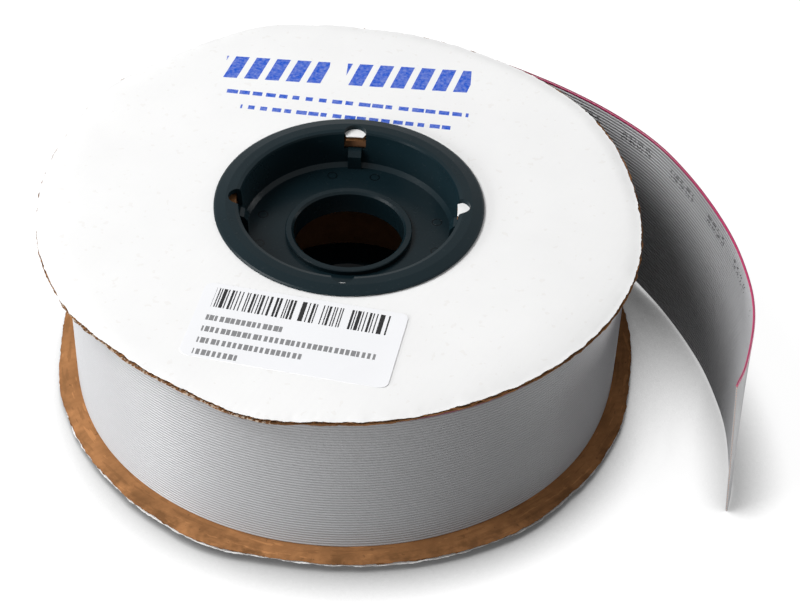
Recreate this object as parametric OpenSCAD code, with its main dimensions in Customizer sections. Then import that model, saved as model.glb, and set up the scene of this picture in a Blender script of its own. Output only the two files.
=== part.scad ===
// Reel of flat ribbon cable, lying on its side: two board flanges held on a cardboard core
// by a plastic hub plug at each end, and the free end of the ribbon standing off the roll.
// Z runs up the reel's axis and z = 0 is the table under the lower hub's rim.

/* [Ribbon] */
// Distance from one conductor to the next
pitch = 1.27; // [1:0.01:1.4]
// Number of conductors side by side
ways = 50; // [40:1:50]
// Thickness over the insulation
ribbon_t = 0.9; // [0.7:0.05:1.1]

/* [Roll] */
// Outside diameter of the wound ribbon
roll_d = 213; // [180:1:216]
// Depth of the groove between two neighbouring conductors
groove = 0.3; // [0.15:0.05:0.4]
// Direction in which the last turn begins, counted from +X
lead_a = 165; // [130:1:180]

/* [Core] */
// Inside diameter of the cardboard tube
core_id = 84; // [82:0.5:90]
// Wall of the cardboard tube
core_wall = 3; // [2:0.5:5]
// Free height left over the ribbon between the flanges
slack = 1; // [0.5:0.1:3]

/* [Flanges] */
// Diameter of both flanges
flange_d = 225; // [220:1:260]
// Thickness of the corrugated board
board_t = 1.8; // [1.5:0.1:3]
// Thickness of the bleached liner on the outer face
liner_t = 0.2; // [0.15:0.05:0.4]
// Free gap round the hub plug in the board and the core
plug_gap = 0.3; // [0.2:0.05:0.6]

/* [Hubs] */
// Diameter of the hub's rim
rim_d = 99; // [94:0.5:110]
// Height of the rim at its inner edge
rim_t = 2; // [1.5:0.1:3]
// Depth of the cup under the rim's top
cup_depth = 15.5; // [10:0.5:20]
// Wall of the cup and its floor
hub_wall = 1.4; // [1:0.1:2]
// Spindle bore of the hub
bore_d = 41; // [36:0.5:44]
// Wall of the collar round the bore
collar_wall = 3; // [2:0.25:4]
// Height of the collar's lip over the cup's floor
lip = 2; // [1:0.25:4]
// Length of the collar under the cup's floor
sleeve = 6; // [3:0.5:10]
// Width of the slots in the rim
slot_w = 8.3; // [6:0.1:10]
// Direction of the first slot
slot_a = -6; // [-45:1:45]

/* [Label] */
// Length of the paper label
label_w = 72.5; // [60:0.5:76]
// Height of the paper label
label_h = 37; // [30:0.5:38]

/* [Hidden] */
$fn = 96;

// heights of the stack
ribbon_w = pitch * ways;
flange_t = board_t + liner_t;
floor_z = rim_t + flange_t;
gap_z = ribbon_w + slack;
top_z = floor_z + gap_z;
total_z = 2 * floor_z + gap_z;

// radii of the core and the plug
core_r = core_id / 2;
core_or = core_r + core_wall;
plug_r = core_r - plug_gap;
rim_r = rim_d / 2;
bore_r = bore_d / 2;
collar_r = bore_r + collar_wall;
rim_edge = rim_t / 2;
taper = 1.2;

// slots of the plug: how far their round ends lie inside its wall, how deep and how long they cut
slot_in = 1.5;
slot_cut = 6;
slot_open = 5.5;
// snap hooks under the slots: width, height and how far they stand into the cup
hook_w = 5;
hook_h = cup_depth - rim_t - slot_cut + 1;
hook_in = 3.6;

// label: its turn, its shift along its own length, its gap to the rim, thickness and corners
label_turn = -15;
label_shift = -3.7;
label_gap = 2.5;
label_t = 0.12;
label_corner = 3;

// the last turn climbs over the one under it by one step, a quarter of it every 90 degrees
seat = 0.15;
step = ribbon_t + seat;
quarter = step / 4;
rho = roll_d / 2 + step / 2;
// radius of the turns that lie whole under the last one, and how deep its quarters reach in
under_r = rho - step - groove - 1;
turn_root = 2;
// bevel along the edges of the free end's strips
strip_bevel = 0.25;

function dir(a) = [cos(a), sin(a)];
function turn_c(i) = quarter / 2 * (
    i == 0 ? -dir(lead_a + 90) - dir(lead_a + 180) :
    i == 1 ? dir(lead_a + 90) - dir(lead_a + 180) :
    i == 2 ? dir(lead_a + 90) + dir(lead_a + 180) :
    -dir(lead_a + 90) + dir(lead_a + 180));

// outline of the wound ribbon cut along the axis, one ridge for each conductor
function ridge(r, k) = [[r - groove, floor_z + pitch * k],
                        [r, floor_z + pitch * (k + 0.5)]];
function ridges(r) = [for (k = [0 : ways - 1]) each ridge(r, k)];

// hub plug cut along the axis, seen with its rim on the board's face at z = 0
function hub_cut() = [
    [plug_r, 0], [rim_r - 0.5, 0], [rim_r, 0.4], [rim_r, rim_edge - 0.2],
    [rim_r - 0.6, rim_edge + 0.2], [plug_r + 3.5, rim_t], [plug_r + 0.2, rim_t],
    [plug_r - hub_wall + 0.3, rim_t - 0.4], [plug_r - hub_wall, rim_t - 1.2],
    [plug_r - taper - hub_wall + 0.3, rim_t - cup_depth + 1.6],
    [plug_r - taper - hub_wall - 1.1, rim_t - cup_depth],
    [collar_r, rim_t - cup_depth], [collar_r, rim_t - cup_depth + lip - 0.3],
    [collar_r - 0.3, rim_t - cup_depth + lip], [bore_r + 0.8, rim_t - cup_depth + lip],
    [bore_r, rim_t - cup_depth + lip - 0.8],
    [bore_r, rim_t - cup_depth - hub_wall - sleeve],
    [bore_r + hub_wall, rim_t - cup_depth - hub_wall - sleeve],
    [bore_r + hub_wall, rim_t - cup_depth - hub_wall],
    [plug_r - taper - 1, rim_t - cup_depth - hub_wall],
    [plug_r - taper, rim_t - cup_depth - hub_wall + 1]];

// The free end's middle line after it leaves the roll: shift in x and y from the point where
// it leaves, height of its lower edge over the roll's floor, and lean of the ribbon outwards.
off_a = 90;
free_end = [
    [22, -2, 0.2, 0.3], [43.3, -8, 0.2, 0.8], [63, -18, 0.2, 1.4], [81, -31, 0.2, 2],
    [92, -41, 0.2, 3.2], [101.3, -50, -0.4, 4.4], [109.8, -59, -1.4, 5.5],
    [116.5, -67.5, -2.3, 6.4], [122.3, -77.3, -3, 6.8], [129, -92, -3.5, 6.1],
    [134.8, -109.5, -3.6, 5.2], [138.8, -127, -3.6, 4.1], [140.6, -145, -3.6, 2.9],
    [140.5, -158.5, -3.6, 1.6], [138.5, -172, -3.6, 0], [134.4, -188.5, -3.6, -2.6],
    [130.4, -198.3, -3.6, -4.4]];

mid_r = rho - step + seat + ribbon_t / 2;
function wound(a) = let (r = mid_r + step * (lead_a - a) / 360)
    [r * cos(a), r * sin(a), 0.2, 0];
wound_n = 12;
wound_pts = [for (k = [0 : wound_n]) wound(lead_a - (lead_a - off_a) * k / wound_n)];
off_pt = wound_pts[wound_n];
knots = concat([wound_pts[wound_n - 1], off_pt],
    [for (p = free_end) [off_pt[0] + p[0], off_pt[1] + p[1], p[2], p[3]]]);
last = len(knots) - 1;
ends = concat(knots, [2 * knots[last] - knots[last - 1]]);
function curve(a, b, c, d, t) = 0.5 * (2 * b + (c - a) * t
    + (2 * a - 5 * b + 4 * c - d) * t * t + (3 * b - a - 3 * c + d) * t * t * t);
path = concat([for (k = [0 : wound_n - 1]) wound_pts[k]],
    [for (i = [1 : last - 1]) for (t = [0, 1 / 3, 2 / 3])
        curve(ends[i - 1], ends[i], ends[i + 1], ends[i + 2], t)],
    [knots[last]]);
n_path = len(path);

function flat(v) = [v[0], v[1]];
function unit(v) = v / norm(v);
function heading(i) = unit(flat(path[min(i + 1, n_path - 1)]) - flat(path[max(i - 1, 0)]));

// one ring of a strip that rides on the ribbon: u across it, v up along it from its lower edge
function ring(i, cut) = let (h = heading(i), out = [-h[1], h[0]], a = path[i][3],
        base = flat(path[i]) - out * ribbon_w / 2 * sin(a))
    [for (p = cut) let (q = base + out * (p[1] * sin(a) + p[0] * cos(a)))
        [q[0], q[1], floor_z + path[i][2] + p[1] * cos(a) - p[0] * sin(a)]];

// the strip leans as it goes, so each four-sided patch is split into two triangles
function strip_faces(m) = concat([[for (k = [0 : m - 1]) k]],
    [for (i = [0 : n_path - 2]) for (k = [0 : m - 1])
        let (a = i * m + k, b = a + m, d = i * m + (k + 1) % m, c = d + m)
            each [[a, b, c], [a, c, d]]],
    [[for (k = [m - 1 : -1 : 0]) (n_path - 1) * m + k]]);

module strip(cut) {
    polyhedron(points = [for (i = [0 : n_path - 1]) each ring(i, cut)],
        faces = strip_faces(len(cut)), convexity = 6);
}

function strip_cut(v0, v1, c) = let (h = ribbon_t / 2)
    [[h - c, v0], [h, v0 + c], [h, v1 - c], [h - c, v1],
     [c - h, v1], [-h, v1 - c], [-h, v0 + c], [c - h, v0]];

module hub() {
    reach = slot_w / 2;
    difference() {
        rotate_extrude() polygon(hub_cut());
        for (k = [0 : 3]) rotate([0, 0, slot_a + 90 * k]) {
            translate([plug_r - slot_in, 0, -slot_cut]) cylinder(r = reach, h = 2 * slot_cut);
            translate([plug_r - slot_in - slot_open, -reach, -slot_cut])
                cube([slot_open, slot_w, 2 * slot_cut]);
        }
    }
    // snap hooks under the slots
    for (k = [0 : 3]) rotate([0, 0, slot_a + 90 * k])
        translate([plug_r - taper, 0, rim_t - cup_depth - 0.5]) rotate([90, 0, 0])
            translate([0, 0, -hook_w / 2]) linear_extrude(hook_w)
                polygon([[-0.6, 0], [-0.4, hook_h], [-2, hook_h - 0.6],
                         [-hook_in + 0.2, hook_h - 2.5], [-hook_in, 0]]);
}

module core_tube() {
    color([0.55, 0.38, 0.25]) translate([0, 0, floor_z]) difference() {
        cylinder(r = core_or, h = gap_z);
        translate([0, 0, -1]) cylinder(r = core_r, h = gap_z + 2);
    }
}

module disc(z, t) {
    translate([0, 0, z]) difference() {
        cylinder(r = flange_d / 2, h = t);
        translate([0, 0, -1]) cylinder(r = core_r, h = t + 2);
    }
}

module bottom_board() {
    color([0.58, 0.38, 0.24]) disc(rim_t + liner_t, board_t);
}

module bottom_liner() {
    color([0.93, 0.93, 0.93]) disc(rim_t, liner_t);
}

module top_board() {
    color([0.58, 0.38, 0.24]) disc(top_z, board_t);
}

module top_liner() {
    color([0.93, 0.93, 0.93]) disc(top_z + board_t, liner_t);
}

module bottom_hub() {
    color([0.12, 0.13, 0.15]) translate([0, 0, rim_t]) mirror([0, 0, 1]) hub();
}

module top_hub() {
    color([0.12, 0.13, 0.15]) translate([0, 0, total_z - rim_t]) hub();
}

// one quarter of the last turn, about its own centre
module quarter_turn(i) {
    r = rho - quarter * i;
    root = under_r - turn_root;
    translate(turn_c(i)) rotate([0, 0, lead_a + 90 * i]) rotate_extrude(angle = 90)
        polygon(concat([[root, floor_z]], ridges(r),
            [[r - groove, floor_z + ribbon_w], [root, floor_z + ribbon_w]]));
}

module cable_roll() {
    color([0.6, 0.6, 0.6]) difference() {
        union() {
            for (i = [0 : 3]) quarter_turn(i);
            translate([0, 0, floor_z]) cylinder(r = under_r, h = ribbon_w);
        }
        translate([0, 0, floor_z - 1]) cylinder(r = core_or, h = ribbon_w + 2);
    }
}

module cable_tail() {
    color([0.6, 0.6, 0.6]) strip(strip_cut(0, ribbon_w - pitch, strip_bevel));
}

module marker_wire() {
    color([0.68, 0.1, 0.3]) strip(strip_cut(ribbon_w - pitch, ribbon_w, strip_bevel));
}

module label() {
    lift = total_z - rim_t;
    color([0.96, 0.96, 0.95]) rotate([0, 0, label_turn])
        translate([label_shift, -rim_r - label_gap - label_h / 2, lift]) linear_extrude(label_t)
            offset(r = label_corner)
                square([label_w - 2 * label_corner, label_h - 2 * label_corner], center = true);
}

core_tube();
bottom_board();
bottom_liner();
top_board();
top_liner();
bottom_hub();
top_hub();
cable_roll();
cable_tail();
marker_wire();
label();
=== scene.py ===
"""Dresses a reel of flat ribbon cable: ribbed ribbon, fluted boards, moulded plugs and a label.

The sizes and colours that a user would change are in property groups, each group of pieces has
an operator, one panel lists them, and main() registers everything and calls them in order.
"""

import math

import bmesh
import bpy
from mathutils import Matrix, Vector, noise


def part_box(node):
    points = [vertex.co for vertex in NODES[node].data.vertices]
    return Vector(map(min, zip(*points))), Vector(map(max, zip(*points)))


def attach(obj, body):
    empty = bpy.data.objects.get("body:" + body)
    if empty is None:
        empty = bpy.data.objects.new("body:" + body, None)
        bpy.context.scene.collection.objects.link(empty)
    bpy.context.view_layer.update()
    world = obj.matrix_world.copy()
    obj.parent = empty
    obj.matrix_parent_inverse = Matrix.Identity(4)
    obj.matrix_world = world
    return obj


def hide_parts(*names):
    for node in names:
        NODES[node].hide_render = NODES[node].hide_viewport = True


bl_info = {
    "name": "Ribbon Reel Dresser",
    "version": (1, 0, 0),
    "blender": (4, 5, 0),
    "location": "View3D > Sidebar > Ribbon Reel",
    "description": "Dresses a packed reel of flat ribbon cable",
    "category": "Object",
}

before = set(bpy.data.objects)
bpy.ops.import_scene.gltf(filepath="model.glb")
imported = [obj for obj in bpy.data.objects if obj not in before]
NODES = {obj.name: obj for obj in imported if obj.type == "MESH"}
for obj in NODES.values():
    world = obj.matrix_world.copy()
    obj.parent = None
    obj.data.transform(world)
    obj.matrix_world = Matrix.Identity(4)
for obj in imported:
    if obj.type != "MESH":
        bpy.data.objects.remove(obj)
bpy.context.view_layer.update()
BODY = "root"
TAU = 2 * math.pi

# Heights and radii that the frame gives, in metres
FLOOR_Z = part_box("cable_roll")[0].z
RIBBON_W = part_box("cable_roll")[1].z - FLOOR_Z
CORE_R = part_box("core_tube")[1].x
TOP_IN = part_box("top_board")[0].z
TOP_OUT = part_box("top_liner")[1].z
LOW_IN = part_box("bottom_board")[1].z
LOW_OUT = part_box("bottom_liner")[0].z
LABEL_MID = (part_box("label")[0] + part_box("label")[1]) / 2

# Outlines of the two boards: direction in degrees and radius in metres
TOP_EDGE = [(1, 0.107), (35, 0.109), (55, 0.108), (80, 0.110), (92, 0.113), (104, 0.1165),
            (123, 0.1145), (140, 0.117), (160, 0.1145), (184, 0.1135), (207, 0.1125),
            (221, 0.110), (236, 0.1097), (250, 0.1117), (266, 0.109), (290, 0.1075), (335, 0.1085)]
LOW_EDGE = [(20, 0.111), (80, 0.1135), (160, 0.111), (180, 0.1102), (195, 0.1122), (216, 0.1138),
            (228, 0.1153), (241, 0.1166), (256, 0.1141), (272, 0.1143), (288, 0.1152),
            (300, 0.1158), (315, 0.1141), (328, 0.1128), (348, 0.1101)]

# The free end's route: shift in x and y from the point where it leaves the roll and height of
# its lower edge over the roll's floor, in metres, and lean outwards in degrees
FREE_END = [
    (0.022, -0.002, 0.0002, 0.3), (0.0433, -0.008, 0.0002, 0.8), (0.063, -0.018, 0.0002, 1.4),
    (0.081, -0.031, 0.0002, 2), (0.092, -0.041, 0.0002, 3.2), (0.1013, -0.05, -0.0004, 4.4),
    (0.1098, -0.059, -0.0014, 5.5), (0.1165, -0.0675, -0.0023, 6.4),
    (0.1223, -0.0773, -0.003, 6.8), (0.129, -0.092, -0.0035, 6.1),
    (0.1348, -0.1095, -0.0036, 5.2), (0.1388, -0.127, -0.0036, 4.1),
    (0.1406, -0.145, -0.0036, 2.9), (0.1405, -0.1585, -0.0036, 1.6),
    (0.1385, -0.172, -0.0036, 0), (0.1344, -0.1885, -0.0036, -2.6),
    (0.1304, -0.1983, -0.0036, -4.4)]


# Settings


def length(name, text, value):
    return bpy.props.FloatProperty(name=name, description=text, default=value, unit="LENGTH",
                                   precision=5)


def angle(name, text, degrees):
    return bpy.props.FloatProperty(name=name, description=text, default=math.radians(degrees),
                                   subtype="ANGLE")


def colour(name, text, value):
    return bpy.props.FloatVectorProperty(name=name, description=text, default=value, size=3,
                                         min=0, max=1, subtype="COLOR")


class RibbonSettings(bpy.types.PropertyGroup):
    """The flat cable, its roll and its free end."""

    pitch: length("Pitch", "Distance from one conductor to the next", 0.00127)
    ways: bpy.props.IntProperty(name="Ways", description="Conductors side by side", default=50,
                                min=2)
    thick: length("Thickness", "Over the insulation of one conductor", 0.0009)
    web: length("Web", "Thickness between two conductors", 0.00034)
    wire_d: length("Wire", "Diameter of a bare conductor", 0.00038)
    roll_d: length("Roll", "Outside diameter of the wound ribbon", 0.213)
    seat: length("Seat", "Air between two turns", 0.00015)
    oval: length("Oval", "How much narrower the wound ribbon is to either side", 0.003)
    lead_a: angle("Lead", "Direction in which the last turn begins", 165)
    off_a: angle("Off", "Direction in which the ribbon leaves the roll", 90)
    grey: colour("Insulation", "Vinyl of the ribbon", (0.4, 0.402, 0.412))
    red: colour("Marker", "Vinyl of the marked conductor", (0.43, 0.012, 0.10))
    copper: colour("Copper", "Bare ends of the conductors", (0.72, 0.45, 0.33))


class BoardSettings(bpy.types.PropertyGroup):
    """The two fluted boards and the label."""

    hole: length("Hole", "Radius of the hole in both boards", 0.042)
    tab: length("Tab", "How far the upper board reaches into two of the plug's slots", 0.0022)
    liner: length("Liner", "Thickness of one liner", 0.00028)
    flute: length("Flute", "Length of one wave of the fluting", 0.0031)
    ragged: length("Ragged", "How far the cut edge strays", 0.0004)
    top_flutes: angle("Upper flutes", "Direction in which the upper flutes run", 55)
    low_flutes: angle("Lower flutes", "Direction in which the lower flutes run", 20)
    label_w: length("Label width", "Length of the paper label", 0.0725)
    label_h: length("Label height", "Height of the paper label", 0.037)
    label_r: length("Label corner", "Radius of the label's corners", 0.003)
    label_a: angle("Label turn", "Turn of the label on the board", -15.6)
    white: colour("Liner white", "Bleached outer liner", (0.875, 0.875, 0.873))
    kraft: colour("Kraft", "Brown inner liner and fluting", (0.43, 0.2, 0.08))
    blue: colour("Print", "Ink of the printed bars", (0.003, 0.08, 0.55))
    paper: colour("Paper", "Label", (0.86, 0.865, 0.885))


class PlugSettings(bpy.types.PropertyGroup):
    """The moulded plugs and the core tube."""

    plastic: colour("Plastic", "Moulded plugs", (0.005, 0.013, 0.017))
    core: colour("Core", "Cardboard of the core tube", (0.30, 0.145, 0.07))


class StageSettings(bpy.types.PropertyGroup):
    """Camera, floor and light."""

    camera: bpy.props.FloatVectorProperty(
        name="Camera", description="Place of the camera", default=(-0.03297, -0.58341, 0.57157),
        subtype="XYZ_LENGTH", precision=5)
    aim: bpy.props.FloatVectorProperty(
        name="Aim", description="Direction of view", default=(0.065827, 0.724716, -0.685896))
    upright: bpy.props.FloatVectorProperty(
        name="Upright", description="Upright of the picture", default=(0.025619, 0.685933, 0.727214))
    lens: bpy.props.FloatProperty(name="Lens", description="Focal length in millimetres",
                                  default=94.5)
    distance: length("Distance", "Distance of the lamps from the reel", 2.2)
    key_a: angle("Key direction", "Direction from which the low key lamp comes", 203)
    key_e: angle("Key height", "Height of the key lamp over the horizon", 12)
    key: bpy.props.FloatProperty(name="Key", description="Key lamp's light on a facing white",
                                 default=0.74)
    top_a: angle("Top direction", "Direction from which the high lamp comes", 178)
    top_e: angle("Top height", "Height of the high lamp over the horizon", 51)
    top: bpy.props.FloatProperty(name="Top", description="High lamp's light on a facing white",
                                 default=0.82)
    side_a: angle("Side direction", "Direction from which the low side lamp comes", 18)
    side_e: angle("Side height", "Height of the side lamp over the horizon", 6)
    side: bpy.props.FloatProperty(name="Side", description="Side lamp's light on a facing white",
                                  default=0.45)
    sky: bpy.props.FloatProperty(name="Sky", description="Light of the surroundings", default=0.3)


# Values and nodes


class Wire:
    """A value in a node tree; arithmetic and comparisons on it add Math nodes."""

    def __init__(self, tree, socket):
        self.tree = tree
        self.socket = socket

    def step(self, kind, *others):
        node = self.tree.nodes.new("ShaderNodeMath")
        node.operation = kind
        for socket, value in zip(node.inputs, (self, *others)):
            plug(self.tree, socket, value)
        return Wire(self.tree, node.outputs[0])

    def __add__(self, other):
        return self.step("ADD", other)

    def __sub__(self, other):
        return self.step("SUBTRACT", other)

    def __mul__(self, other):
        return self.step("MULTIPLY", other)

    def __truediv__(self, other):
        return self.step("DIVIDE", other)

    def __gt__(self, other):
        return self.step("GREATER_THAN", other)

    def __lt__(self, other):
        return self.step("LESS_THAN", other)

    def between(self, low, high):
        return (self > low) * (self < high)

    def either(self, other):
        return self.step("MAXIMUM", other)

    def floor(self):
        return self.step("FLOOR")

    def fract(self):
        return self.step("FRACT")

    def wave(self, size):
        return (self * (TAU / size)).step("SINE")


def plug(tree, socket, value):
    """Link a value that comes from a node, or set a plain number or colour."""
    if isinstance(value, Wire):
        tree.links.new(value.socket, socket)
    elif socket.type == "RGBA":
        socket.default_value = (*value[:3], 1)
    else:
        socket.default_value = value


def add(tree, kind, into, out=0, **settings):
    """A shader node with its inputs filled from into; returns one of its outputs."""
    node = tree.nodes.new("ShaderNode" + kind)
    for key, value in settings.items():
        setattr(node, key, value)
    for key, value in into.items():
        plug(tree, node.inputs[key], value)
    return Wire(tree, node.outputs[out])


def parts(tree, vector):
    """X, Y and Z of a vector."""
    node = tree.nodes.new("ShaderNodeSeparateXYZ")
    plug(tree, node.inputs[0], vector)
    return [Wire(tree, socket) for socket in node.outputs]


def blend(tree, share, first, second):
    """Colour between first, at share 0, and second, at share 1."""
    node = tree.nodes.new("ShaderNodeMix")
    node.data_type = "RGBA"
    for place, value in ((0, share), (6, first), (7, second)):
        plug(tree, node.inputs[place], value)
    return Wire(tree, node.outputs[2])


def tint(shade, factor):
    return tuple(min(1.0, c * factor) for c in shade[:3])


def turned(x, y, a):
    """x and y in axes turned by a."""
    return x * math.cos(a) + y * math.sin(a), y * math.cos(a) - x * math.sin(a)


# Node groups that several finishes share


def new_group(name, inputs, outputs):
    """A node group with those sockets, its input values and its output node."""
    tree = bpy.data.node_groups.new(name, "ShaderNodeTree")
    for label, kind in inputs:
        tree.interface.new_socket(label, in_out="INPUT", socket_type="NodeSocket" + kind)
    for label, kind in outputs:
        tree.interface.new_socket(label, in_out="OUTPUT", socket_type="NodeSocket" + kind)
    source = tree.nodes.new("NodeGroupInput")
    sink = tree.nodes.new("NodeGroupOutput")
    return tree, {s.name: Wire(tree, s) for s in source.outputs if s.name}, sink


def use_group(tree, name, into):
    """Place a node group in a material and return its outputs by name."""
    node = tree.nodes.new("ShaderNodeGroup")
    node.node_tree = bpy.data.node_groups[name]
    for key, value in into.items():
        plug(tree, node.inputs[key], value)
    return {s.name: Wire(tree, s) for s in node.outputs}


def surface_grain():
    """Soft clouds, fine grain and sparse specks."""
    tree, given, sink = new_group(
        "SurfaceGrain", [("Vector", "Vector"), ("Cloud Scale", "Float"), ("Fine Scale", "Float")],
        [("Cloud", "Float"), ("Fine", "Float"), ("Specks", "Float")])
    at = given["Vector"]
    cloud = add(tree, "TexNoise", {"Vector": at, "Scale": given["Cloud Scale"], "Detail": 4.0,
                                   "Roughness": 0.6}, "Fac")
    fine = add(tree, "TexNoise", {"Vector": at, "Scale": given["Fine Scale"], "Detail": 2.0}, "Fac")
    dust = add(tree, "TexNoise", {"Vector": at, "Scale": given["Fine Scale"] * 0.4,
                                  "Detail": 1.0}, "Fac")
    for name, value in (("Cloud", cloud), ("Fine", fine), ("Specks", dust > 0.7)):
        plug(tree, sink.inputs[name], value)


def kraft_paper():
    """Brown paper: blotches, long fibres, dark flecks and the flutes pressing through."""
    tree, given, sink = new_group(
        "KraftPaper", [("Vector", "Vector"), ("Light", "Color"), ("Dark", "Color"),
                       ("Scale", "Float"), ("Ribs", "Float")],
        [("Color", "Color"), ("Height", "Float")])
    at = given["Vector"]
    blotch = add(tree, "TexNoise", {"Vector": at, "Scale": given["Scale"] * 70, "Detail": 5.0,
                                    "Roughness": 0.65}, "Fac")
    long = add(tree, "VectorMath", {0: at, 1: (500, 2600, 900)}, operation="MULTIPLY")
    fibre = add(tree, "TexNoise", {"Vector": long, "Scale": 1.0, "Detail": 3.0}, "Fac")
    fleck = add(tree, "TexNoise", {"Vector": at, "Scale": given["Scale"] * 420, "Detail": 2.0}, "Fac")
    share = add(tree, "MapRange", {"Value": blotch, "From Min": 0.34, "From Max": 0.64}, "Result")
    shade = blend(tree, share, given["Dark"], given["Light"])
    shade = blend(tree, fibre * 0.34, shade, given["Dark"])
    shade = blend(tree, (fleck > 0.7) * 0.4, shade, (0.06, 0.032, 0.018))
    shade = blend(tree, (given["Ribs"] < -0.55) * 0.16, shade, given["Dark"])
    plug(tree, sink.inputs["Color"], shade)
    plug(tree, sink.inputs["Height"], fibre + blotch * 0.6 + given["Ribs"] * 0.5)


def rib_grooves():
    """1 in the groove between two conductors, fading out on their flanks; it places painted shade."""
    tree, given, sink = new_group("RibGrooves", [("Across", "Float"), ("Pitch", "Float")],
                                  [("Mask", "Float")])
    off = ((given["Across"] / given["Pitch"]).fract() - 0.5).step("ABSOLUTE")
    mask = add(tree, "MapRange", {"Value": off, "From Min": 0.26, "From Max": 0.46}, "Result")
    plug(tree, sink.inputs["Mask"], mask)


def printed_dashes():
    """One printed rule broken into dashes of uneven length."""
    names = ("Along", "Across", "From", "To", "Line", "Height", "Cell", "Seed")
    tree, given, sink = new_group("PrintedDashes", [(n, "Float") for n in names],
                                  [("Mask", "Float")])
    cell = given["Along"] / given["Cell"]
    chance = add(tree, "TexWhiteNoise", {"W": cell.floor() + given["Seed"]}, "Value",
                 noise_dimensions="1D")
    dash = cell.fract() < chance * 0.42 + 0.5
    on_line = given["Across"].between(given["Line"], given["Line"] + given["Height"])
    inside = given["Along"].between(given["From"], given["To"])
    plug(tree, sink.inputs["Mask"], dash * on_line * inside)


def dashes(tree, along, across, row, seed):
    """A row is its start, end, line, height and cell, in metres."""
    keys = ("From", "To", "Line", "Height", "Cell")
    into = {"Along": along, "Across": across, "Seed": float(seed), **dict(zip(keys, row))}
    return use_group(tree, "PrintedDashes", into)["Mask"]


# Finishes


class Finish:
    """A material on the Principled shader and what its nodes start from."""

    def __init__(self, name, shade, rough, specular=0.5):
        self.material = bpy.data.materials.new(name)
        self.material.use_nodes = True
        self.material.diffuse_color = (*shade[:3], 1)
        self.tree = self.material.node_tree
        self.shader = self.tree.nodes["Principled BSDF"]
        self.shader.inputs["Roughness"].default_value = rough
        self.shader.inputs["Specular IOR Level"].default_value = specular
        self.at = self.coordinate("Object")

    def coordinate(self, kind):
        return add(self.tree, "TexCoord", {}, kind)

    def grain(self, cloud, fine):
        return use_group(self.tree, "SurfaceGrain",
                         {"Vector": self.at, "Cloud Scale": float(cloud), "Fine Scale": float(fine)})

    def wear(self, colour=None, rough=None, height=None, deep=0.00003):
        """Feed the shader's colour, roughness and bump."""
        if colour is not None:
            plug(self.tree, self.shader.inputs["Base Color"], colour)
        if rough is not None:
            plug(self.tree, self.shader.inputs["Roughness"], rough)
        if height is not None:
            bump = add(self.tree, "Bump", {"Height": height, "Distance": deep, "Strength": 0.7})
            plug(self.tree, self.shader.inputs["Normal"], bump)
        return self.material


def vinyl(name, shade, pitch, wound=True):
    """Soft insulation: even colour, painted shade in the grooves, satin gloss; wound is the roll's."""
    f = Finish(name, shade, 0.42, 0.65)
    grain = f.grain(34, 1500)
    tone = blend(f.tree, grain["Cloud"] * 0.4, shade, tint(shade, 0.88))
    tone = blend(f.tree, grain["Specks"] * 0.06, tone, tint(shade, 1.5))
    across = parts(f.tree, f.at)[2] - FLOOR_Z if wound else parts(f.tree, f.coordinate("UV"))[1]
    groove_shade = use_group(f.tree, "RibGrooves", {"Across": across, "Pitch": pitch})["Mask"]
    # painted shade: the grooves between the conductors are darkened, as shade falls in them
    tone = blend(f.tree, groove_shade * 0.5, tone, tint(shade, 0.3))
    if not wound:
        tone = blend(f.tree, dot_marks(f) * 0.88, tone, (0.01, 0.01, 0.012))
    return f.wear(tone, grain["Cloud"] * 0.1 + 0.31, grain["Fine"], 0.000003)


def dot_marks(f):
    """Clusters of ink dots in one lane beside the marked edge, in no pattern that reads."""
    dot = 0.00072
    along, across, _ = parts(f.tree, f.coordinate("UV"))
    column = along / dot
    row = across / dot
    cell = add(f.tree, "CombineXYZ", {"X": column.floor(), "Y": row.floor()})
    chance = add(f.tree, "TexWhiteNoise", {"Vector": cell}, "Value", noise_dimensions="2D")
    across_dot = column.fract() - 0.5
    up_dot = row.fract() - 0.5
    round_dot = (across_dot * across_dot + up_dot * up_dot) < 0.2
    cluster = ((along / 0.0042).fract() < 0.74) * ((along / 0.0265).fract() < 0.62)
    lane = across.between(0.0547, 0.0590) * along.between(0.15, 0.372)
    return round_dot * (chance > 0.42) * cluster * lane


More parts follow.
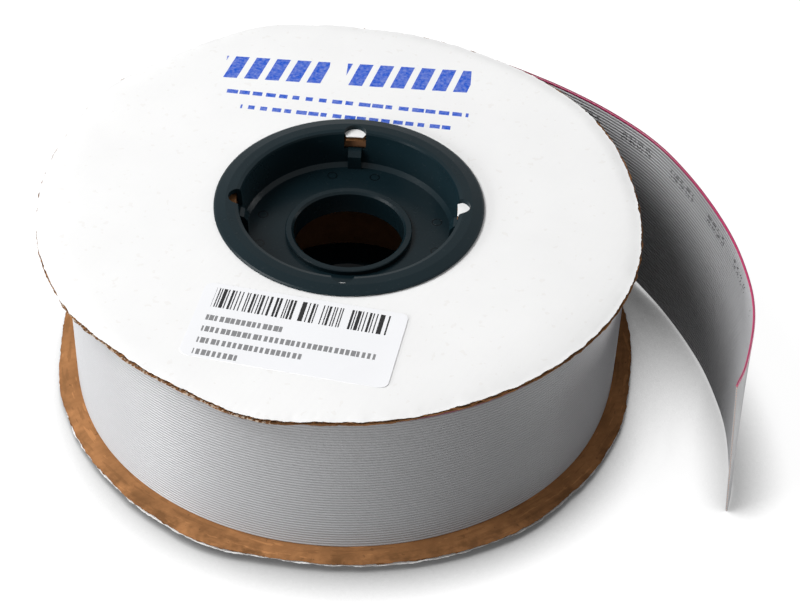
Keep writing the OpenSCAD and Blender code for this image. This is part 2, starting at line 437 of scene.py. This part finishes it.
def kraft(name, shade, scale, ribs=None):
    """Brown board; ribs is the length and direction of the flutes that press through it."""
    f = Finish(name, shade, 0.88, 0.1)
    into = {"Vector": f.at, "Light": shade, "Dark": tint(shade, 0.62), "Scale": float(scale)}
    if not ribs:
        paper = use_group(f.tree, "KraftPaper", into)
        return f.wear(paper["Color"], None, paper["Height"], 0.00008)
    x, y, z = parts(f.tree, f.at)
    into["Ribs"] = turned(x, y, ribs[1])[1].wave(ribs[0])
    radius = (x * x + y * y).step("SQRT")
    # fibres and creases run round the board; their seam lies at the back
    around = x.step("ARCTAN2", y * -1.0) * 0.11
    into["Vector"] = add(f.tree, "CombineXYZ", {"X": around, "Y": radius, "Z": z})
    paper = use_group(f.tree, "KraftPaper", into)
    long = add(f.tree, "VectorMath", {0: into["Vector"], 1: (70, 520, 200)}, operation="MULTIPLY")
    crease = add(f.tree, "TexNoise", {"Vector": long, "Scale": 1.0, "Detail": 3.0}, "Fac")
    rim = add(f.tree, "MapRange", {"Value": radius, "From Min": 0.1075, "From Max": 0.1125}, "Result")
    tone = blend(f.tree, (crease > 0.6) * 0.4, paper["Color"], tint(shade, 0.45))
    tone = blend(f.tree, (crease < 0.36) * 0.5, tone, tint(shade, 1.35))
    # smudges and painted shade: blotches darken the board towards its cut edge
    smudge_and_shade = add(f.tree, "MapRange", {"Value": f.grain(130, 900)["Cloud"], "From Min": 0.42,
                                      "From Max": 0.62}, "Result")
    tone = blend(f.tree, smudge_and_shade * rim * 0.7, tone, tint(shade, 0.3))
    # bare fluting and torn paper in the cut edge of the upper board, on its left front
    left_front = turned(x, y, math.radians(226))[0] > 0.098
    torn = (f.grain(260, 1100)["Fine"] > 0.53) * left_front * (z > 0.05)
    tone = blend(f.tree, torn * 0.8, tone, (0.6, 0.5, 0.4))
    return f.wear(tone, None, paper["Height"] + crease, 0.0001)


def bleached_liner(bs):
    """White outer liner, faintly mottled, with plain blue bars and broken rules."""
    f = Finish("bleached_liner", bs.white, 0.6, 0.15)
    grain = f.grain(24, 900)
    x, y, z = parts(f.tree, f.at)
    tone = blend(f.tree, grain["Cloud"], tint(bs.white, 1.04), tint(bs.white, 0.94))
    tone = blend(f.tree, grain["Specks"] * 0.10, tone, (0.55, 0.48, 0.40))
    along, across = turned(x, y, math.radians(-7.8))
    tile = ((along - across * 0.25) / 0.0082).fract() < 0.66
    spans = along.between(-0.056, -0.015).either(along.between(-0.008, 0.041))
    ink = tile * spans * across.between(0.0715, 0.0855)
    along, across = turned(x, y, math.radians(-11.3))
    for k, row in enumerate(((-0.057, 0.0375, 0.0585, 0.0024, 0.0052),
                             (-0.050, 0.0320, 0.0497, 0.0024, 0.0047))):
        ink = ink.either(dashes(f.tree, along, across, row, 3 + 5 * k))
    ink = ink * (z > 0.05) * (grain["Fine"] * 0.5 + 0.66).step("MINIMUM", 1.0)
    tone = blend(f.tree, ink, tone, bs.blue)
    washboard = turned(x, y, bs.top_flutes)[1].wave(bs.flute)
    return f.wear(tone, grain["Cloud"] * 0.2 + 0.5, washboard * 0.25 + grain["Fine"], 0.00003)


def label_paper(bs):
    """White paper with a generic row of bars and four broken rules."""
    f = Finish("label_paper", bs.paper, 0.48, 0.15)
    along, across, _ = parts(f.tree, f.coordinate("UV"))
    grain = f.grain(60, 1400)
    # most third modules hold a thin bar, and chance ones between them widen some of the bars
    module = 0.00042
    single, triple = along / module, along / (3 * module)
    wide, thin = [add(f.tree, "TexWhiteNoise", {"W": cell.floor()}, "Value",
                      noise_dimensions="1D") for cell in (single, triple)]
    bars = (wide > 0.66).either((triple.fract() < 1 / 3) * (thin > 0.25))
    ink = bars * along.between(0.0045, 0.0665) * across.between(0.0250, 0.0348)
    text = None
    for k, end in enumerate((0.0315, 0.0655, 0.041, 0.020)):
        row = dashes(f.tree, along, across, (0.0045, end, 0.0182 - 0.0057 * k, 0.0027, 0.0019), 7 * k)
        text = row if text is None else text.either(row)
    tone = blend(f.tree, grain["Cloud"], tint(bs.paper, 1.02), tint(bs.paper, 0.97))
    tone = blend(f.tree, text * 0.74, tone, (0.02, 0.02, 0.022))
    tone = blend(f.tree, ink * 0.98, tone, (0.006, 0.006, 0.007))
    return f.wear(tone, grain["Cloud"] * 0.15 + 0.42, grain["Fine"], 0.00001)


def plug_plastic(ps):
    """Black moulded plastic with flow marks and the round marks of the ejector pins."""
    f = Finish("plug_plastic", ps.plastic, 0.42, 0.12)
    grain = f.grain(48, 1900)
    x, y, _ = parts(f.tree, f.at)
    radius = (x * x + y * y).step("SQRT")
    quarter = y.step("ARCTAN2", x) / (TAU / 4) + (4 + 6 / 90)
    from_slot = ((quarter + 0.5).fract() - 0.5).step("ABSOLUTE") * (TAU / 4)
    across = radius * from_slot.step("COSINE") - 0.0325
    beside = radius * from_slot.step("SINE") - 0.0081
    off = (across * across + beside * beside).step("SQRT")
    pin = off.between(0.0015, 0.0020)
    tone = blend(f.tree, grain["Cloud"], tint(ps.plastic, 1.35), tint(ps.plastic, 0.75))
    tone = blend(f.tree, grain["Specks"] * 0.05, tone, (0.10, 0.11, 0.12))
    tone = blend(f.tree, pin * 0.7, tone, (0.001, 0.002, 0.003))
    return f.wear(tone, grain["Cloud"] * 0.2 + 0.16, grain["Fine"] * 0.5 - pin * 3.0, 0.00006)


def cut_copper(rs):
    f = Finish("cut_copper", rs.copper, 0.35)
    f.shader.inputs["Metallic"].default_value = 1.0
    grain = f.grain(900, 5200)
    tone = blend(f.tree, grain["Cloud"], tint(rs.copper, 1.25), tint(rs.copper, 0.7))
    return f.wear(tone, grain["Fine"] * 0.3 + 0.2)


# Mesh work


def eased(x):
    x = min(1.0, max(0.0, x))
    return x * x * (3 - 2 * x)


def finished(bm, name, materials):
    """Turn a bmesh into a piece at the origin that rides with the reel."""
    bmesh.ops.recalc_face_normals(bm, faces=bm.faces[:])
    mesh = bpy.data.meshes.new(name)
    bm.to_mesh(mesh)
    bm.free()
    mesh.polygons.foreach_set("use_smooth", [True] * len(mesh.polygons))
    mesh.set_sharp_from_angle(angle=math.radians(50))
    for material in materials:
        mesh.materials.append(material)
    piece = bpy.data.objects.new(name, mesh)
    bpy.context.scene.collection.objects.link(piece)
    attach(piece, BODY)
    return piece


def verts_of(geom):
    return [g for g in geom if isinstance(g, bmesh.types.BMVert)]


def grow(bm, ring):
    """Extrude a ring of edges where it lies; returns the new ring and its points."""
    geom = bmesh.ops.extrude_edge_only(bm, edges=ring)["geom"]
    fresh = verts_of(geom)
    own = set(fresh)
    return [g for g in geom if isinstance(g, bmesh.types.BMEdge) and own.issuperset(g.verts)], fresh


def sweep(bm, ring, places, notes):
    """Extrude a ring of edges through the places; each new ring keeps its note in layer along."""
    along = bm.verts.layers.float["along"]
    bmesh.ops.transform(bm, matrix=places[0], verts=list({v for e in ring for v in e.verts}))
    for before, after, note in zip(places, places[1:], notes[1:]):
        ring, fresh = grow(bm, ring)
        bmesh.ops.transform(bm, matrix=after @ before.inverted(), verts=fresh)
        for v in fresh:
            v[along] = note
    return ring


# Ribbon

# Shares across one conductor at which its outline has a point
LOBE = (0.0, 0.17, 0.24, 0.36, 0.5, 0.64, 0.76, 0.83, 1.0)


def half_thickness(share, rs):
    """A round conductor between two flat webs."""
    off = (share - 0.5) * rs.pitch
    return max(rs.web / 2, math.sqrt(max(0.0, (rs.thick / 2) ** 2 - off ** 2)))


def conductor_row(bm, rs, first, count, side):
    """The outline of one conductor, repeated along Y as one chain in the XY plane."""
    chain = [bm.verts.new((side * half_thickness(t, rs), (first + t) * rs.pitch, 0)) for t in LOBE]
    edges = [bm.edges.new(pair) for pair in zip(chain, chain[1:])]
    for k in range(1, count):
        copy = bmesh.ops.duplicate(bm, geom=chain + edges)["geom"]
        bmesh.ops.translate(bm, verts=verts_of(copy), vec=(0, k * rs.pitch, 0))


def new_section():
    """A bmesh whose points note their distance along, across and to the side."""
    bm = bmesh.new()
    for name in ("along", "across", "side"):
        bm.verts.layers.float.new(name)
    return bm


def pressed_in(a, rs):
    """How far the wound ribbon is pressed in at its left and right."""
    return rs.oval * (window(a, 183, 12) + window(a, 347, 12))


def route(rs):
    """Middle line of the last turn and the free end: x, y, height of the lower edge, lean."""
    climb = rs.thick + rs.seat
    inner = rs.roll_d / 2 - climb / 2 + rs.seat + rs.thick / 2
    turn_steps = 18
    bend_steps = 5
    points = []
    for k in range(turn_steps + 1):
        a = rs.lead_a + (rs.off_a - rs.lead_a) * k / turn_steps
        r = inner + climb * (rs.lead_a - a) / TAU - pressed_in(a, rs)
        points.append((r * math.cos(a), r * math.sin(a), FREE_END[0][2], 0.0))
    off = points.pop()
    knots = [points[-1], off]
    knots += [(off[0] + x, off[1] + y, z, math.radians(lean)) for x, y, z, lean in FREE_END]
    knots.append(tuple(2 * p - q for p, q in zip(knots[-1], knots[-2])))
    for a, b, c, d in zip(knots, knots[1:], knots[2:], knots[3:]):
        for k in range(bend_steps):
            t = k / bend_steps
            points.append(tuple(
                0.5 * (2 * q + (r - p) * t + (2 * p - 5 * q + 4 * r - s) * t * t
                       + (3 * q - p - 3 * r + s) * t ** 3) for p, q, r, s in zip(a, b, c, d)))
    points.append(knots[-2])
    return points


def ribbon_places(rs):
    """A matrix for each ring: X across the ribbon's face, Y up along it, Z ahead."""
    points = route(rs)
    places = []
    for i, (x, y, z, lean) in enumerate(points):
        ahead = points[min(i + 1, len(points) - 1)]
        behind = points[max(i - 1, 0)]
        heading = Vector((ahead[0] - behind[0], ahead[1] - behind[1], 0)).normalized()
        out = Vector((-heading.y, heading.x, 0))
        across = out * math.cos(lean) - Vector((0, 0, math.sin(lean)))
        upward = out * math.sin(lean) + Vector((0, 0, math.cos(lean)))
        foot = Vector((x, y, FLOOR_Z + z)) - out * (RIBBON_W / 2 * math.sin(lean))
        turn = Matrix((across, upward, heading)).transposed().to_4x4()
        places.append(Matrix.Translation(foot) @ turn)
    return places


def middles(places):
    return [place @ Vector((0, RIBBON_W / 2, 0)) for place in places]


def ribbon_strip(name, rs, places, first, count, material):
    """Some conductors of the free end as one ribbed strip with closed ends."""
    bm = new_section()
    for side in (1, -1):
        conductor_row(bm, rs, first, count, side)
    bmesh.ops.remove_doubles(bm, verts=bm.verts[:], dist=1e-6)
    for height in (first * rs.pitch, (first + count) * rs.pitch):
        bm.edges.new([v for v in bm.verts if abs(v.co.y - height) < 1e-6])
    along, across, side = [bm.verts.layers.float[n] for n in ("along", "across", "side")]
    for v in bm.verts:
        v[across] = v.co.y
        v[side] = v.co.x
    line = middles(places)
    notes = [0.0]
    for a, b in zip(line, line[1:]):
        notes.append(notes[-1] + (b - a).length)
    start = bm.edges[:]
    end = sweep(bm, start, places, notes)
    caps = [bmesh.ops.contextual_create(bm, geom=ring)["faces"][0] for ring in (start, end)]
    bmesh.ops.triangulate(bm, faces=caps)
    # the outward side lies a whole number of conductors away, where no dot mark falls
    uv = bm.loops.layers.uv.new("UVMap")
    for face in bm.faces:
        shift = 0.0 if sum(v[side] for v in face.verts) < 0 else -4 * rs.ways * rs.pitch
        for loop in face.loops:
            loop[uv].uv = (loop.vert[along], loop.vert[across] + shift)
    return finished(bm, name, [material])


def bare_ends(rs, place, material):
    """The cut conductors, each a low copper disc in the ribbon's end face."""
    bm = bmesh.new()
    proud = 0.00004
    for k in range(rs.ways):
        spot = Matrix.Translation((0, (k + 0.5) * rs.pitch, proud / 4))
        bmesh.ops.create_cone(bm, cap_ends=True, segments=12, radius1=rs.wire_d / 2,
                              radius2=rs.wire_d / 2, depth=proud, matrix=place @ spot)
    return finished(bm, "tail_conductors", [material])


def build_tail(rs):
    places = ribbon_places(rs)
    # painted shade: the free end's insulation is the roll's grey made darker
    grey = vinyl("tail_vinyl", tint(rs.grey, 0.9), rs.pitch, wound=False)
    red = vinyl("marker_vinyl", rs.red, rs.pitch, wound=False)
    tail = ribbon_strip("tail_ribbon", rs, places, 0, rs.ways - 1, grey)
    marker = ribbon_strip("tail_marker", rs, places, rs.ways - 1, 1, red)
    copper = bare_ends(rs, places[-1], cut_copper(rs))
    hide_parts("cable_tail")
    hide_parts("marker_wire")


def build_roll(rs):
    """The wound ribbon: its ridges swept round once while they sink by one turn's climb."""
    climb = rs.thick + rs.seat
    outer = rs.roll_d / 2 + climb / 2
    steps = 232
    bm = new_section()
    conductor_row(bm, rs, 0, rs.ways, 1)
    bmesh.ops.remove_doubles(bm, verts=bm.verts[:], dist=1e-6)
    upright = Matrix.Translation((outer - rs.thick / 2, 0, FLOOR_Z)) @ Matrix.Rotation(TAU / 4, 4, "X")
    bmesh.ops.transform(bm, matrix=upright, verts=bm.verts[:])
    ends = sorted((v for v in bm.verts if len(v.link_edges) == 1), key=lambda v: v.co.z)
    inside = [bm.verts.new((CORE_R, 0, v.co.z)) for v in ends]
    for pair in (inside, (ends[0], inside[0]), (ends[1], inside[1])):
        bm.edges.new(pair)
    shares = [k / steps for k in range(steps + 1)]
    places = [Matrix.Rotation(rs.lead_a + TAU * share, 4, "Z") for share in shares]
    # one more ring in the last place, back at the first radius, closes the step of the last turn
    sweep(bm, bm.edges[:], places + places[-1:], shares + [0.0])
    along = bm.verts.layers.float["along"]
    ridge_foot = outer - rs.thick
    for v in bm.verts:
        radius = v.co.xy.length
        if radius < ridge_foot:
            continue
        a = math.atan2(v.co.y, v.co.x)
        height = math.sin(math.pi * (v.co.z - FLOOR_Z) / RIBBON_W)
        slack = 0.00010 * math.sin(3 * a + 0.7) + 0.00006 * math.sin(7 * a + 2.0)
        sunk = climb * v[along] + pressed_in(a, rs)
        v.co.xy *= (radius - sunk + slack * height) / radius
    bmesh.ops.remove_doubles(bm, verts=bm.verts[:], dist=1e-6)
    bmesh.ops.dissolve_degenerate(bm, dist=1e-7, edges=bm.edges[:])
    marked = FLOOR_Z + RIBBON_W - rs.pitch
    for face in bm.faces:
        centre = face.calc_center_median()
        foot = ridge_foot - climb - rs.oval
        face.material_index = int(centre.z > marked and centre.xy.length > foot)
    # the red ridge of the roll lies in the shade of the upper board
    colours = [vinyl("roll_vinyl", rs.grey, rs.pitch),
               vinyl("roll_marker", tint(rs.red, 0.4), rs.pitch)]
    roll = finished(bm, "roll_ribbon", colours)
    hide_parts("cable_roll")


# Boards and label

# Shares from the hole to the cut edge at which a liner has a ring
RINGS = (0.0, 0.3, 0.55, 0.72, 0.84, 0.91, 0.95, 0.975, 0.99, 1.0)


def edge_radius(table, a):
    """Radius of a cut edge in direction a, eased between the points of its outline."""
    degrees = math.degrees(a) % 360
    for (low, r0), (high, r1) in zip(table, table[1:] + table[:1]):
        span = (high - low) % 360
        along = (degrees - low) % 360
        if along <= span:
            return r0 + (r1 - r0) * eased(along / span)
    return table[0][1]


def round_noise(a, rate, seed):
    """Noise that closes on itself once round the board."""
    return noise.noise(Vector((math.cos(a) * rate, math.sin(a) * rate, seed)))


def window(a, degrees, narrow):
    """1 in one direction, falling off to either side."""
    return max(0.0, math.cos(a - math.radians(degrees))) ** narrow


class Board:
    """One fluted board: where its faces lie, how it warps and how its cut edge is crushed."""

    def __init__(self, bs, upper):
        self.bs = bs
        self.upper = upper
        self.inner = TOP_IN if upper else LOW_IN
        self.outer = TOP_OUT if upper else LOW_OUT
        self.middle = (self.inner + self.outer) / 2
        self.edge = TOP_EDGE if upper else LOW_EDGE
        self.seed = 2.3 if upper else 7.9
        self.name = "top" if upper else "bottom"

    def warp(self, r, a):
        """How far the board bends out of its plane."""
        if not self.upper:
            rim = eased((r - 0.1075) / 0.006)
            return 0.0006 * rim * (math.sin(3 * a + 1.0) * 0.7 + math.sin(5 * a + 0.3) * 0.5)
        swell = 0.5 * math.sin(2 * a + 0.4) + 0.35 * math.sin(3 * a + 2.2) + round_noise(a, 3, 0.3)
        front = window(a, 298, 2)
        swell *= 0.0005 * max(0.0, (r - 0.052) / 0.06) ** 1.6 * (1 - front)
        left = window(a, 185, 3) * eased((r - 0.104) / 0.010)
        return max(-0.0004, swell) - 0.0006 * left - 0.0009 * front * eased((r - 0.096) / 0.010)

    def crush(self, a):
        """How far the cut edge is pressed shut, from 0 to 1."""
        shut = 0.62 + 0.5 * round_noise(a, 2.4, self.seed) + 0.35 * round_noise(a, 11, self.seed)
        if self.upper:
            shut -= 0.9 * window(a, 226, 14)
        return min(0.92, max(0.0, shut))

    def hole(self, a, white):
        """Radius of the hole: the board reaches into two slots, its white is torn at a third."""
        if not self.upper:
            return self.bs.hole
        reach = max(window(a, -6, 1), window(a, 84, 1))
        torn = window(a, 174, 1) if white else 0.0
        return self.bs.hole + self.bs.tab * (eased((torn - 0.993) / 0.003) * 1.6
                                             - eased((reach - 0.995) / 0.002))

    def cut(self, a, seed, short):
        """Radius of the cut edge with its raggedness; on the left no sheet falls short."""
        stray = round_noise(a, 26, seed) + 0.7 * round_noise(a, 95, seed + 1)
        short *= 1 - window(a, 172, 2)
        return edge_radius(self.edge, a) - short + self.bs.ragged * stray

    def shape(self, bm, seed, short, white=False, waves=None):
        """Give points made at radius 1 to 2 their real radius and height."""
        for v in bm.verts:
            a = math.atan2(v.co.y, v.co.x)
            share = v.co.xy.length - 1
            hole = self.hole(a, white)
            r = hole + (self.cut(a, seed, short) - hole) * share
            v.co.xy = (r * math.cos(a), r * math.sin(a))
            shut = self.crush(a) * eased((share - 0.94) / 0.06)
            if waves:
                v.co.z += waves(v.co.x, v.co.y)
            v.co.z = self.middle + (v.co.z - self.middle) * (1 - 0.85 * shut) + self.warp(r, a)

    def washer(self, shares, low, high, steps):
        """A flat closed ring, its rings of edges at those shares of a radius from 1 to 2."""
        bm = bmesh.new()
        section = [(1 + s, low) for s in shares] + [(1 + s, high) for s in reversed(shares)]
        bmesh.ops.create_circle(bm, segments=steps, radius=section[0][0])
        bmesh.ops.translate(bm, verts=bm.verts[:], vec=(0, 0, low))
        first = ring = bm.edges[:]
        for (r0, z0), (r1, z1) in zip(section, section[1:]):
            ring, fresh = grow(bm, ring)
            bmesh.ops.scale(bm, vec=(r1 / r0, r1 / r0, 1), verts=fresh)
            bmesh.ops.translate(bm, verts=fresh, vec=(0, 0, z1 - z0))
        bmesh.ops.bridge_loops(bm, edges=first + ring)
        return bm

    def liner(self, face, inward, seed, short, material, slot):
        """A liner whose outer side lies at height face."""
        low, high = sorted((face, face + inward * self.bs.liner))
        bm = self.washer(RINGS, low, high, 900)
        self.shape(bm, seed, short, white=face == self.outer)
        side = "face" if face == self.outer else "back"
        return finished(bm, self.name + "_" + side, [material])

    def fluting(self, run, material):
        """The waved sheet between the liners, seen at the cut edge."""
        sheet = 0.00009
        tall = abs(self.outer - self.inner) / 2 - self.bs.liner - sheet
        bm = self.washer((0.9, 0.95, 0.98, 1.0), self.middle - sheet, self.middle + sheet, 2400)
        self.shape(bm, self.seed + 5, 0.0005, waves=lambda x, y: tall * math.sin(
            TAU / self.bs.flute * (y * math.cos(run) - x * math.sin(run))))
        return finished(bm, self.name + "_flutes", [material])


def build_boards(bs):
    white = bleached_liner(bs)
    for upper in (True, False):
        board = Board(bs, upper)
        run = bs.top_flutes if upper else bs.low_flutes
        inward = math.copysign(1, board.inner - board.outer)
        # painted shade: the upper board's brown back, which faces down, is the same kraft made darker
        brown = kraft(board.name + "_kraft", tint(bs.kraft, 0.6 if upper else 1), 1, (bs.flute, run))
        waved = kraft(board.name + "_fluting", tint(bs.kraft, 0.7), 2)
        # the upper board shows brown past its white, the lower one white past its brown
        face = board.liner(board.outer, inward, 1.7, 0.0006 if upper else 0.0, white, "liner")
        back = board.liner(board.inner, -inward, 5.3, 0.0 if upper else 0.0002, brown, "board")
        flutes = board.fluting(run, waved)
        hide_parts(board.name + "_liner")
        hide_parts(board.name + "_board")
        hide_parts(board.name + "_board")


def build_label(bs):
    """Paper with round corners, cut into small fields so that it follows the board."""
    bm = bmesh.new()
    bmesh.ops.create_grid(bm, x_segments=1, y_segments=1, size=0.5)
    bmesh.ops.scale(bm, vec=(bs.label_w, bs.label_h, 1), verts=bm.verts[:])
    bmesh.ops.bevel(bm, geom=bm.verts[:], offset=bs.label_r, offset_type="OFFSET", affect="VERTICES",
                    segments=6, profile=0.5, material=-1)
    for axis, size, cuts in ((0, bs.label_w, 30), (1, bs.label_h, 16)):
        for k in range(1, cuts):
            spot = Vector((0, 0, 0))
            spot[axis] = size * (k / cuts - 0.5)
            normal = Vector((axis == 0, axis == 1, 0))
            bmesh.ops.bisect_plane(bm, geom=bm.verts[:] + bm.edges[:] + bm.faces[:],
                                   plane_co=spot, plane_no=normal)
    uv = bm.loops.layers.uv.new("UVMap")
    for face in bm.faces:
        for loop in face.loops:
            loop[uv].uv = (loop.vert.co.x + bs.label_w / 2, loop.vert.co.y + bs.label_h / 2)
    thin = 0.00010
    grown = bmesh.ops.extrude_face_region(bm, geom=bm.faces[:])["geom"]
    bmesh.ops.translate(bm, verts=verts_of(grown), vec=(0, 0, thin))
    board = Board(bs, True)
    turn = Matrix.Rotation(bs.label_a, 4, "Z")
    for v in bm.verts:
        lift = v.co.z + 0.00015 * eased((v.co.x / bs.label_w - 0.42) / 0.08)
        spot = turn @ Vector((v.co.x, v.co.y, 0))
        x, y = LABEL_MID.x + spot.x, LABEL_MID.y + spot.y
        v.co = (x, y, TOP_OUT + lift + board.warp(math.hypot(x, y), math.atan2(y, x)))
    label = finished(bm, "label_sheet", [label_paper(bs)])
    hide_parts("label")


# Plugs and core, which keep the solids of the frame


def dress_nodes(ps):
    plastic = plug_plastic(ps)
    card = kraft("core_card", ps.core, 0.7)
    for name, material in (("top_hub", plastic), ("bottom_hub", plastic), ("core_tube", card)):
        for slot in NODES[name].material_slots:
            slot.material = material


# Stage


def soft_lamp(name, direction, height, distance, wide, tall, level):
    """An oval lamp aimed at the reel; level is what it gives a white that faces it."""
    lamp = bpy.data.lights.new(name, "AREA")
    lamp.shape = "ELLIPSE"
    lamp.size = wide
    lamp.size_y = tall
    lamp.energy = level * (math.pi * distance) ** 2
    lamp_object = bpy.data.objects.new(name, lamp)
    bpy.context.scene.collection.objects.link(lamp_object)
    toward = Vector((math.cos(direction) * math.cos(height),
                     math.sin(direction) * math.cos(height), math.sin(height)))
    lamp_object.location = toward * distance
    lamp_object.rotation_euler = (-toward).to_track_quat("-Z", "Y").to_euler()


def stand_camera(st):
    lens = bpy.data.cameras.new("camera")
    lens.lens = st.lens
    lens.sensor_width = 36
    camera = bpy.data.objects.new("camera", lens)
    bpy.context.scene.collection.objects.link(camera)
    back = -Vector(st.aim).normalized()
    upright = Vector(st.upright).normalized()
    turn = Matrix((upright.cross(back), upright, back)).transposed().to_4x4()
    camera.matrix_world = Matrix.Translation(st.camera) @ turn
    bpy.context.scene.camera = camera


def looked_at(tree):
    """1 where the camera, gloss or glass looks at it, 0 where it only lights other things."""
    path = tree.nodes.new("ShaderNodeLightPath")
    rays = [Wire(tree, path.outputs[n]) for n in ("Is Camera Ray", "Is Glossy Ray",
                                                  "Is Transmission Ray")]
    return rays[0].either(rays[1]).either(rays[2])


def lay_floor():
    """A pale floor that the camera sees as white, that still takes the reel's shadow, and whose glow
    is dimmed near the reel as painted shadow.
    """
    bm = bmesh.new()
    bmesh.ops.create_grid(bm, x_segments=4, y_segments=4, size=4)
    mesh = bpy.data.meshes.new("floor")
    bm.to_mesh(mesh)
    bm.free()
    floor = bpy.data.objects.new("floor", mesh)
    bpy.context.scene.collection.objects.link(floor)
    f = Finish("pale_floor", (0.9, 0.9, 0.9), 0.9, 0.0)
    seen = looked_at(f.tree)
    plug(f.tree, f.shader.inputs["Base Color"], blend(f.tree, seen, (0.34, 0.34, 0.34),
                                                      (0.2, 0.2, 0.2)))
    f.shader.inputs["Emission Color"].default_value = (1, 1, 1, 1)
    # painted shadow: the glow fades where the reel stands close behind, so a painted shadow hugs the
    # front
    toward = add(f.tree, "CombineXYZ", {"X": -0.12, "Y": 0.5, "Z": 0.8})
    open_sky = add(f.tree, "AmbientOcclusion", {"Distance": 0.034, "Normal": toward}, "AO",
                   samples=16)
    shadowed_glow = add(f.tree, "MapRange", {"Value": open_sky, "From Min": 0.4, "From Max": 0.82,
                                    "To Min": 0.06, "To Max": 0.92}, "Result")
    plug(f.tree, f.shader.inputs["Emission Strength"], seen * shadowed_glow)
    mesh.materials.append(f.material)


def light_world(st):
    """Even sky for the object, and plain white where the camera, gloss or glass look past it."""
    world = bpy.data.worlds.new("pale_room")
    bpy.context.scene.world = world
    world.use_nodes = True
    tree = world.node_tree
    tree.nodes.clear()
    strength = looked_at(tree) * (1 - st.sky) + st.sky
    light = add(tree, "Background", {"Color": (1, 1, 1), "Strength": strength})
    out = tree.nodes.new("ShaderNodeOutputWorld")
    plug(tree, out.inputs["Surface"], light)


# Operators


class ReelStage(bpy.types.Operator):
    """Set up the camera, the floor, the sky and the three lamps"""

    bl_idname = "reel.stage"
    bl_label = "Stage"

    def execute(self, context):
        st = context.scene.reel_stage
        stand_camera(st)
        lay_floor()
        light_world(st)
        soft_lamp("key_lamp", st.key_a, st.key_e, st.distance, 0.9, 0.5, st.key)
        soft_lamp("high_lamp", st.top_a, st.top_e, st.distance, 1.3, 1.3, st.top)
        soft_lamp("side_lamp", st.side_a, st.side_e, st.distance, 1.0, 1.0, st.side)
        context.scene.view_settings.view_transform = "Standard"
        return {"FINISHED"}


class ReelFinishes(bpy.types.Operator):
    """Make the node groups that the finishes share"""

    bl_idname = "reel.finishes"
    bl_label = "Finishes"

    def execute(self, context):
        surface_grain()
        kraft_paper()
        rib_grooves()
        printed_dashes()
        return {"FINISHED"}


class ReelTail(bpy.types.Operator):
    """Build the free end of the ribbon with its marked edge and bare conductor ends"""

    bl_idname = "reel.tail"
    bl_label = "Free end"

    def execute(self, context):
        build_tail(context.scene.reel_ribbon)
        return {"FINISHED"}


class ReelRoll(bpy.types.Operator):
    """Build the wound ribbon"""

    bl_idname = "reel.roll"
    bl_label = "Roll"

    def execute(self, context):
        build_roll(context.scene.reel_ribbon)
        return {"FINISHED"}


class ReelBoards(bpy.types.Operator):
    """Build the two fluted boards"""

    bl_idname = "reel.boards"
    bl_label = "Boards"

    def execute(self, context):
        build_boards(context.scene.reel_board)
        return {"FINISHED"}


class ReelLabel(bpy.types.Operator):
    """Build the paper label"""

    bl_idname = "reel.label"
    bl_label = "Label"

    def execute(self, context):
        build_label(context.scene.reel_board)
        return {"FINISHED"}


class ReelPlugs(bpy.types.Operator):
    """Give the hub plugs and the core their finishes"""

    bl_idname = "reel.plugs"
    bl_label = "Plugs and core"

    def execute(self, context):
        dress_nodes(context.scene.reel_plug)
        return {"FINISHED"}


class ReelPanel(bpy.types.Panel):
    """Settings, and the operators in the order in which main() calls them"""

    bl_idname = "REEL_PT_panel"
    bl_label = "Ribbon Reel"
    bl_space_type = "VIEW_3D"
    bl_region_type = "UI"
    bl_category = "Ribbon Reel"

    def draw(self, context):
        for name in SETTINGS:
            group = getattr(context.scene, name)
            for key in group.__annotations__:
                self.layout.prop(group, key)
        for operator in OPERATORS:
            self.layout.operator(operator.bl_idname)


SETTINGS = {"reel_ribbon": RibbonSettings, "reel_board": BoardSettings,
            "reel_plug": PlugSettings, "reel_stage": StageSettings}
OPERATORS = (ReelStage, ReelFinishes, ReelTail, ReelRoll, ReelBoards, ReelLabel, ReelPlugs)


def register():
    for cls in (*SETTINGS.values(), *OPERATORS, ReelPanel):
        bpy.utils.register_class(cls)
    for name, cls in SETTINGS.items():
        setattr(bpy.types.Scene, name, bpy.props.PointerProperty(type=cls))


def unregister():
    for name in SETTINGS:
        delattr(bpy.types.Scene, name)
    for cls in (ReelPanel, *reversed(OPERATORS), *SETTINGS.values()):
        bpy.utils.unregister_class(cls)


def main():
    register()
    bpy.ops.reel.stage()
    bpy.ops.reel.finishes()
    bpy.ops.reel.tail()
    bpy.ops.reel.roll()
    bpy.ops.reel.boards()
    bpy.ops.reel.label()
    bpy.ops.reel.plugs()


if __name__ == "__main__":
    main()
